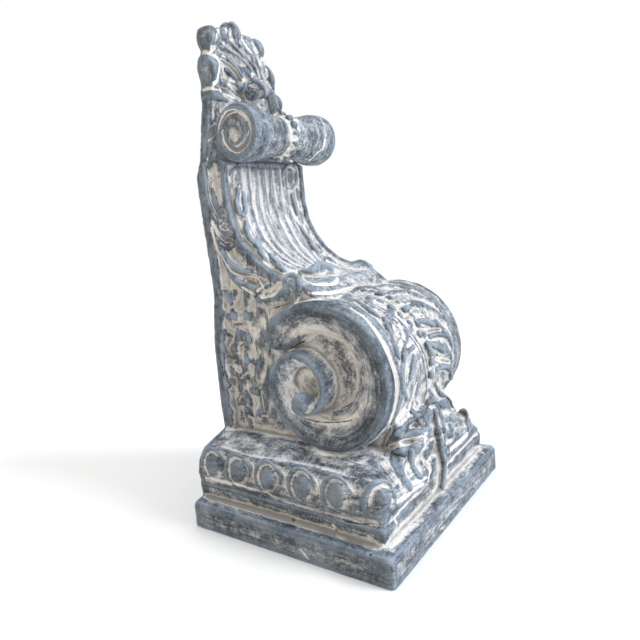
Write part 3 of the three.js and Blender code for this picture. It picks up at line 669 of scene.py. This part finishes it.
baseCarving = {
    'fillet': {'width': 4.6, 'height': 0.6, 'wash': -1.1, 'mirror': True, 'paths': [
        [(204, 484), (240, 490), (290, 503), (340, 518), (380, 531)]]},
    'underEggs': {'width': 3, 'height': -1, 'wash': 1, 'mirror': True, 'paths': [
        [(206, 478), (235, 485), (270, 495), (310, 510), (350, 520), (372, 525)]]},
    'cove': {'width': 5.5, 'height': -1.2, 'wash': 0.15, 'mirror': True, 'paths': [
        [(205, 496), (240, 505), (280, 517), (320, 529), (350, 540), (378, 548)]]},
    'slope': {'width': 2.4, 'height': -0.5, 'wash': 0.5, 'mirror': True, 'paths': [
        [(222, 446), (250, 455), (290, 461), (330, 470), (352, 477), (372, 480)]]},
    'ledge': {'width': 4.4, 'height': -0.6, 'wash': 0.3, 'paths': [
        [(392, 546), (410, 531), (430, 514), (448, 497), (462, 481), (474, 461)]]},
    'wear': {'width': 2, 'height': -1.1, 'wash': 0.5, 'paths': [
        [(318, 529), (330, 534), (338, 538)], [(332, 524), (336, 530), (333, 536)],
        [(345, 536), (352, 541), (362, 543)],
        [(300, 549), (305, 556), (310, 562)], [(368, 536), (374, 541)], [(482, 452), (488, 455)],
        [(387, 566), (391, 570)],
        [(440, 530), (446, 526)], [(466, 477), (469, 472)], [(395, 519), (398, 524)]]},
}
damage = {
    'cracks': {'width': 1.1, 'height': -1, 'dark': 1, 'paths': [
        [(278, 356), (287, 350), (295, 347), (302, 342), (308, 343)],
        [(270, 441), (285, 446), (300, 451), (318, 456), (340, 457)],
        [(340, 457), (355, 463), (372, 467)], [(268, 309), (278, 307), (290, 303)],
        [(245, 328), (250, 334), (254, 340)],
        [(303, 418), (320, 422), (340, 422), (352, 420)], [(335, 411), (345, 407), (350, 404)],
        [(214, 516), (214, 530)],
        [(335, 537), (351, 541), (379, 550)], [(262, 395), (265, 413)],
        [(345, 521), (358, 523), (369, 524)]]},
    'wormHoles': {'width': 1.7, 'height': -2.4, 'dark': 1, 'paths': [
        [(358, 480), (359, 480)], [(391, 492), (391, 494)], [(370, 554), (371, 554)],
        [(316, 508), (317, 508)],
        [(292, 520), (293, 520)], [(322, 470), (323, 471)], [(276, 494), (277, 494)]]},
}
paintMarks = {
    'beige': {'width': 5, 'height': 0, 'wash': 1, 'mirror': True, 'paths': [
        [(292, 380), (297, 374), (305, 371), (312, 378)],
        [(310, 418), (325, 423), (342, 423), (354, 417), (362, 406)],
        [(296, 336), (304, 329), (318, 327), (334, 333)]]},
    'eggFaces': {'width': 9, 'height': 0, 'wash': -1, 'mirror': True, 'paths': [
        [(221, 465), (222, 466)], [(241, 470), (242, 471)], [(269, 478), (270, 479)],
        [(298, 486), (299, 487)],
        [(328, 493), (329, 494)], [(360, 501), (361, 503)]]},
    'line': {'width': 1.3, 'height': 0.7, 'wash': 0.7, 'mirror': True, 'paths': [
        [(318, 322), (332, 327), (346, 338), (358, 353), (366, 371), (369, 390), (366, 408)]]},
    # The white on the great scroll's start lobe is partly limewash, partly painted highlight
    'washed': {'width': 8, 'height': 0, 'wash': 0.6, 'mirror': True, 'paths': [
        [(268, 322), (268, 332), (276, 340)], [(300, 380), (292, 392), (290, 410)]]},
    'gutter': {'width': 4, 'height': 0, 'wash': 0.8, 'mirror': True, 'paths': [
        [(262, 318), (256, 330), (258, 345), (266, 356)], [(372, 452), (380, 446), (372, 458)],
        [(350, 462), (362, 462), (368, 456)]]},
}


# How a stroke is laid: a place every so many pixels, left out where it jumps further than the gap in metres.
# It tapers to its ends unless it is a short dab, and its wash spreads a little past the cut.
strokeForm = {
    'spacing': 1.2, 'gap': 0.012, 'endsAt': 0.08, 'endWidth': 0.45, 'taper': 0.6, 'dab': 5,
    'washLift': 0.8, 'washSpread': 1.25, 'washMost': 1.3, 'washEven': 3,
}


def treeOf(mesh):
    corners = [tuple(p.vertices) for p in mesh.polygons]
    return BVHTree.FromPolygons([tuple(v.co) for v in mesh.vertices], corners)


# The stroke's places on the stone and the way the stone faces there, without the parts that slip off behind
def castStroke(tree, pixels):
    length = sum(math.dist(a, b) for a, b in zip(pixels, pixels[1:]))
    places = []
    for px, py in smoothPath(pixels, max(3, int(length / strokeForm['spacing']) + 1)):
        place, normal = tree.ray_cast(Vector(eyePoint), sightLine(px, py))[:2]
        if place is None:
            continue
        if not places or (place - places[-1][0]).length < strokeForm['gap']:
            places.append((place, normal))
    return places


def strokeWidths(width, count):
    if count < strokeForm['dab']:
        return np.full(count, width * 0.001)
    along = np.linspace(strokeForm['endsAt'], 1 - strokeForm['endsAt'], count)
    swell = np.sin(along * math.pi) ** strokeForm['taper']
    return width * 0.001 * (strokeForm['endWidth'] + (1 - strokeForm['endWidth']) * swell)


def readyStrokes(tree, groups):
    strokes = []
    for group in groups:
        for path in group['paths']:
            places = castStroke(tree, path)
            if len(places) < 2:
                continue
            line = np.array([p for p, _ in places])
            facing = np.array([n for _, n in places])
            stroke = {'line': line, 'facing': facing, 'widths': strokeWidths(group['width'], len(line)),
                      'height': group['height'] * 0.001,
                      'wash': group.get('wash', 0), 'dark': group.get('dark', 0)}
            strokes.append(stroke)
            if group.get('mirror'):
                flip = np.array([-1, 1, 1])
                strokes.append({**stroke, 'line': line * flip, 'facing': facing * flip})
    return strokes


# How strongly a stroke acts on each point near it: 1 along its middle, falling to 0 at its sides
def strokeReach(points, line, widths):
    reach = widths.max()
    low, high = line.min(0) - reach, line.max(0) + reach
    near = np.flatnonzero(((points > low) & (points < high)).all(1))
    gaps = np.linalg.norm(points[near, None, :] - line[None], axis=2) / widths[None]
    return near, np.clip(1 - gaps.min(1) ** 2, 0, 1)


carvings = [palmCarving, rollCarving, hollowCarving, sideCarving, drumCarving, footCarving, baseCarving,
            paintMarks, damage]
strokes = readyStrokes(treeOf(mesh), [group for carving in carvings for group in carving.values()])
print('strokes laid', len(strokes))
points = coordinates(mesh)
normals = normalsOf(mesh)
lift = np.zeros(len(points))
for stroke in strokes:
    if stroke['height'] != 0:
        near, strength = strokeReach(points, stroke['line'], stroke['widths'])
        lift[near] += stroke['height'] * strength
lift += stoneSkin['broadHeight'] * lumps(points, stoneSkin['broadLumps'], 3)
lift += stoneSkin['smallHeight'] * lumps(points, stoneSkin['smallLumps'], 4)
panel = inZone(points, 'sidePanel')
lift[panel] += stoneSkin['foliageHeight'] * lumps(points[panel], stoneSkin['foliageLumps'], 5)
points = relaxed(points + normals * lift[:, None], edges, 1, stoneSkin['carvedEase'])

# Flat again where it stands and where it meets the wall, and never past the solid's own box
points[points[:, 2] < stoneSkin['flatWithin'], 2] = cadLow.z
points[points[:, 1] > cadHigh.y - stoneSkin['flatWithin'], 1] = cadHigh.y
putBack(mesh, np.clip(points, np.array(cadLow), np.array(cadHigh)))
print('stone carved')


def keepAttribute(name, values):
    layer = mesh.attributes.new(name, 'FLOAT', 'POINT')
    layer.data.foreach_set('value', values.astype(np.float32))


# How hollow the surface is against itself smoothed by a few and by many rounds, and what the strokes leave
points = coordinates(mesh)
normals = normalsOf(mesh)
fine = relaxed(points, edges, stoneSkin['nearRounds'])
wide = relaxed(fine, edges, stoneSkin['farRounds'])
keepAttribute('hollowFine', ((fine - points) * normals).sum(1) * 1000)
keepAttribute('hollowWide', np.clip(((wide - points) * normals).sum(1) * 1000, *stoneSkin['widest']))
wash, dark = np.zeros(len(points)), np.zeros(len(points))
for stroke in strokes:
    lifted = stroke['line'] + stroke['facing'] * stroke['height'] * strokeForm['washLift']
    near, strength = strokeReach(points, lifted, stroke['widths'] * strokeForm['washSpread'])
    wash[near] += stroke['wash'] * strength
    dark[near] = np.maximum(dark[near], stroke['dark'] * strength)
wash = np.clip(wash, -strokeForm['washMost'], strokeForm['washMost'])
keepAttribute('strokeWash', evened(wash, edges, strokeForm['washEven']))
keepAttribute('strokeDark', dark)

# Which way the paint was brushed: along the base's mouldings, round the great scroll, and upwards elsewhere
onScroll = inZone(points, 'scrollEnd')
onBase = inZone(points, 'base') & ~onScroll
keepAttribute('brushedLevel', evened(onBase, edges, strokeForm['washEven']))
keepAttribute('brushedRound', evened(onScroll, edges, strokeForm['washEven']))
keepAttribute('paleShare', evened(palerShare(points), edges, stoneSkin['even']))
print('hollows measured')

thin = stone.modifiers.new('thin', 'DECIMATE')
faceCount = sum(len(p.vertices) - 2 for p in mesh.polygons)
thin.ratio = min(1.0, stoneSkin['triangles'] / faceCount)
bpy.ops.object.modifier_apply(modifier=thin.name)
mesh = stone.data
for polygon in mesh.polygons:
    polygon.use_smooth = True
print('stone thinned', len(mesh.polygons))


def hexColour(text):
    channels = [int(text[i:i + 2], 16) / 255 for i in (1, 3, 5)]
    return [c / 12.92 if c <= 0.04045 else ((c + 0.055) / 1.055) ** 2.4 for c in channels] + [1]


# Limewashed and painted stone, brushed on by hand: a matt mineral surface, a little smoother where it is worn
stonePaint = {
    'paintDark': '#28303a', 'paintMid': '#5a6775', 'paintLight': '#97a5b3',
    # The side colours are partly the stone's own tone, partly painted shade, and the crack colour also paints
    # shade
    'sideDarkToneAndShade': '#23292d', 'sideMidToneAndShade': '#60676b', 'wash': '#f6f5f3', 'washSideToneAndShade': '#c9c0b1', 'crackAndShade': '#1c1815',
    'roughLow': 0.42, 'roughHigh': 0.75, 'roughSpread': 0.15, 'bump': 0.5, 'bumpDepth': 0.0012,
    'markShare': 0.1, 'roundTurn': 0.006, 'roundAcross': 0.3,
}
limewashed = bpy.data.materials.new('limewashedStone')
limewashed.use_nodes = True
paintNodes = limewashed.node_tree
paintNodes.nodes.clear()


# A node with its settings. Each input gets another node's output, a hex colour or a plain value.
def addNode(kind, settings, inputs):
    made = paintNodes.nodes.new(kind)
    for key, value in settings.items():
        setattr(made, key, value)
    for key, value in inputs.items():
        if isinstance(value, bpy.types.NodeSocket):
            paintNodes.links.new(value, made.inputs[key])
        elif isinstance(value, str):
            made.inputs[key].default_value = hexColour(value)
        else:
            made.inputs[key].default_value = value
    return made


coords = addNode('ShaderNodeTexCoord', {}, {}).outputs['Object']

# The fields that the masks below are mixed from. First what was measured on the stone.
fields = {}
for name in ('hollowFine', 'hollowWide', 'strokeWash', 'strokeDark', 'brushedLevel', 'brushedRound',
             'paleShare'):
    fields[name] = addNode('ShaderNodeAttribute', {'attribute_name': name}, {}).outputs['Fac']

# Brush marks are drawn out to ten times their width: upwards, along the mouldings or round the great scroll
short = stonePaint['markShare']
upWay = addNode('ShaderNodeVectorMath', {'operation': 'MULTIPLY'}, {0: coords, 1: (1, 1, short)})
levelWay = addNode('ShaderNodeVectorMath', {'operation': 'MULTIPLY'}, {0: coords, 1: (short, short, 1)})
scrollMiddle = (0, (backY - greatScroll['d']) / 1000, greatScroll['z'] / 1000)
fromMiddle = addNode('ShaderNodeVectorMath', {'operation': 'SUBTRACT'}, {0: coords, 1: scrollMiddle})
across, toBack, upward = addNode('ShaderNodeSeparateXYZ', {}, {0: fromMiddle.outputs[0]}).outputs
spoke = addNode('ShaderNodeCombineXYZ', {}, {1: toBack, 2: upward})
spread = addNode('ShaderNodeVectorMath', {'operation': 'LENGTH'}, {0: spoke.outputs[0]})
turn = addNode('ShaderNodeMath', {'operation': 'ARCTAN2'}, {0: toBack, 1: upward})
roundWay = addNode('ShaderNodeCombineXYZ', {}, {0: spread.outputs['Value'], 1: turn.outputs[0], 2: across})
shrink = (1, stonePaint['roundTurn'], stonePaint['roundAcross'])
roundWay = addNode('ShaderNodeVectorMath', {'operation': 'MULTIPLY'}, {0: roundWay.outputs[0], 1: shrink})

# Patterns, each with the real size of its spots in millimetres, its detail and its roughness: patches, clouds
# of wash, mottling, grain as coarse as shows in the picture, and brush marks 3 mm wide. Each is centred on 0.
patterns = {
    'patches': (30.3, 3, 0.6, coords), 'clouds': (10, 4, 0.6, coords), 'mottle': (2.78, 5, 0.75, coords),
    'grain': (1, 4, 0.8, coords), 'marks': (3.03, 5, 0.7, upWay.outputs[0]),
    'levelMarks': (3.03, 5, 0.7, levelWay.outputs[0]), 'roundMarks': (3.03, 5, 0.7, roundWay.outputs[0]),
}
for name, (size, detail, roughness, along) in patterns.items():
    spots = addNode('ShaderNodeTexNoise', {}, {'Vector': along, 'Scale': 1000 / size, 'Detail': detail,
                                                     'Roughness': roughness}).outputs['Fac']
    fields[name] = addNode('ShaderNodeMath', {'operation': 'SUBTRACT'}, {0: spots, 1: 0.5}).outputs[0]
for where, marks in (('brushedLevel', 'levelMarks'), ('brushedRound', 'roundMarks')):
    mixed = {0: fields[where], 2: fields['marks'], 3: fields[marks]}
    fields['marks'] = addNode('ShaderNodeMix', {'data_type': 'FLOAT'}, mixed).outputs[0]

# How far the surface faces to a side (0 to 1), and the same as a soft step, 1 on the sides. They give the side
# faces their darker, warmer paint and wash: partly the stone's own tone, partly painted shade.
facing = addNode('ShaderNodeNewGeometry', {}, {}).outputs['Normal']
facingAcross = addNode('ShaderNodeSeparateXYZ', {}, {0: facing}).outputs[0]
fields['facingSide'] = addNode('ShaderNodeMath', {'operation': 'ABSOLUTE'}, {0: facingAcross}).outputs[0]
sideFrom, sideTo = 0.45, 0.92
fields['onSide'] = addNode('ShaderNodeMapRange', {'interpolation_type': 'SMOOTHSTEP'},
                           {'Value': fields['facingSide'], 'From Min': sideFrom,
                            'From Max': sideTo}).outputs[0]

# The masks, each a sum of fields with their own shares: where the paint is worn lighter, where limewash is
# left, where hollows get painted shade, where heights are rubbed, where cracks and holes are dark and the side
# panel's pits get painted shade, and the bump's relief
masks = {
    'worn': {'mottle': 1.6, 'grain': 1.2, 'marks': 1.4, 'clouds': 1, 'patches': 1.2, 'hollowWide': -0.1,
             'hollowFine': -0.3, 'paleShare': 0.5},
    'washed': {'hollowFine': 1.2, 'hollowWide': 0.35, 'strokeWash': 0.75, 'marks': 2.2, 'mottle': 1.8,
               'grain': 2.6, 'clouds': 1.1, 'patches': 0.6, 'onSide': -0.1, 'paleShare': 0.15},
    'shaded': {'hollowWide': 0.5, 'hollowFine': 0.9, 'grain': 2, 'mottle': 1},
    'rubbed': {'hollowFine': -1, 'grain': 1.6, 'marks': 1, 'onSide': -0.15},
    'crackedAndPitShade': {'strokeDark': 1, 'grain': 1.5},
    'relief': {'mottle': 0.7, 'grain': 0.3, 'marks': 0.5},
}
for name, shares in masks.items():
    total = 0
    for field, share in shares.items():
        total = addNode('ShaderNodeMath', {'operation': 'MULTIPLY_ADD'},
                        {0: fields[field], 1: share, 2: total}).outputs[0]
    fields[name] = total


# One coat over another, where a field rises from a low to a high level. It covers no more than 'most'.
def coat(under, over, field, low, high, most=1):
    cover = addNode('ShaderNodeMapRange', {'interpolation_type': 'SMOOTHSTEP'},
                    {'Value': fields[field], 'From Min': low, 'From Max': high, 'To Max': most}).outputs[0]
    return addNode('ShaderNodeMix', {'data_type': 'RGBA'}, {0: cover, 6: under, 7: over}).outputs[2]


frontPaint = coat(stonePaint['paintDark'], stonePaint['paintMid'], 'worn', -0.45, 0.2)
frontPaint = coat(frontPaint, stonePaint['paintLight'], 'worn', -0.05, 0.75)
# Darker, warmer paint and wash on the side faces: partly the stone's own tone, partly painted shade
sidePaintToneAndShade = coat(stonePaint['sideDarkToneAndShade'], stonePaint['sideMidToneAndShade'], 'worn', -0.4, 0.5)
paint = coat(frontPaint, sidePaintToneAndShade, 'facingSide', sideFrom, sideTo, 0.85)
limewash = coat(stonePaint['wash'], stonePaint['washSideToneAndShade'], 'facingSide', sideFrom, sideTo, 0.85)
colour = coat(paint, limewash, 'washed', -0.5, 1.1)
# Painted shade: the hollows darkened towards the dark crack colour
colour = coat(colour, stonePaint['crackAndShade'], 'shaded', 0.5, 2.0, 0.7)
colour = coat(colour, stonePaint['paintLight'], 'rubbed', 0.22, 0.75, 0.35)
# Dark cracks and holes, and painted shade in the side panel's pits
colour = coat(colour, stonePaint['crackAndShade'], 'crackedAndPitShade', 0.2, 0.7, 0.9)
rough = addNode('ShaderNodeMapRange', {}, {
    'Value': fields['mottle'], 'From Min': -stonePaint['roughSpread'], 'From Max': stonePaint['roughSpread'],
    'To Min': stonePaint['roughLow'], 'To Max': stonePaint['roughHigh']}).outputs[0]
bump = addNode('ShaderNodeBump', {}, {
    'Strength': stonePaint['bump'], 'Distance': stonePaint['bumpDepth'],
    'Height': fields['relief']}).outputs[0]
shader = addNode('ShaderNodeBsdfPrincipled', {}, {
    'IOR': 1.5, 'Metallic': 0.0, 'Base Color': colour, 'Roughness': rough, 'Normal': bump}).outputs[0]
addNode('ShaderNodeOutputMaterial', {}, {'Surface': shader})
mesh.materials.clear()
mesh.materials.append(limewashed)
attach(stone, 'root')
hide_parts('corbel')
print('stone finished')

# A floor of pale plaster, soft daylight all round, a broad sun from the front and a weak lamp on the left
studio = {
    'floor': '#f6f6f5', 'floorRough': 0.9, 'floorSize': 12, 'floorGap': 0.0002,
    'sky': '#ffffff', 'skyStrength': 1.0,
    'sun': (0.5, -1.6, 1.7), 'sunColour': '#f6f9ff', 'sunStrength': 1.7, 'sunSpread': 20,
    'lamp': (-1.8, 0.1, 1.0), 'lampColour': '#fff6ea', 'lampStrength': 2, 'lampSize': 1.2,
    'aim': (0, 0, 0.25),
}
floorPaint = bpy.data.materials.new('palePlaster')
floorPaint.use_nodes = True
plaster = floorPaint.node_tree.nodes['Principled BSDF']
plaster.inputs['Base Color'].default_value = hexColour(studio['floor'])
plaster.inputs['Roughness'].default_value = studio['floorRough']
bpy.ops.mesh.primitive_plane_add(size=studio['floorSize'], location=(0, 0, cadLow.z - studio['floorGap']))
floor = bpy.context.object
floor.name = 'floor'
floor.data.materials.append(floorPaint)
floor.select_set(False)

world = bpy.data.worlds.new('studio')
bpy.context.scene.world = world
world.use_nodes = True
sky = world.node_tree.nodes['Background']
sky.inputs[0].default_value = hexColour(studio['sky'])
sky.inputs[1].default_value = studio['skyStrength']
bpy.context.scene.view_settings.view_transform = 'Standard'


def addLight(name, kind, place, strength, colour):
    data = bpy.data.lights.new(name, kind)
    data.energy = strength
    data.color = hexColour(colour)[:3]
    lamp = bpy.data.objects.new(name, data)
    lamp.location = place
    aim = Vector(studio['aim']) - Vector(place)
    lamp.rotation_euler = aim.to_track_quat('-Z', 'Y').to_euler()
    bpy.context.collection.objects.link(lamp)
    return data


sun = addLight('keySun', 'SUN', studio['sun'], studio['sunStrength'], studio['sunColour'])
sun.angle = math.radians(studio['sunSpread'])
lamp = addLight('sideLight', 'AREA', studio['lamp'], studio['lampStrength'], studio['lampColour'])
lamp.size = studio['lampSize']
print('floor and light placed')
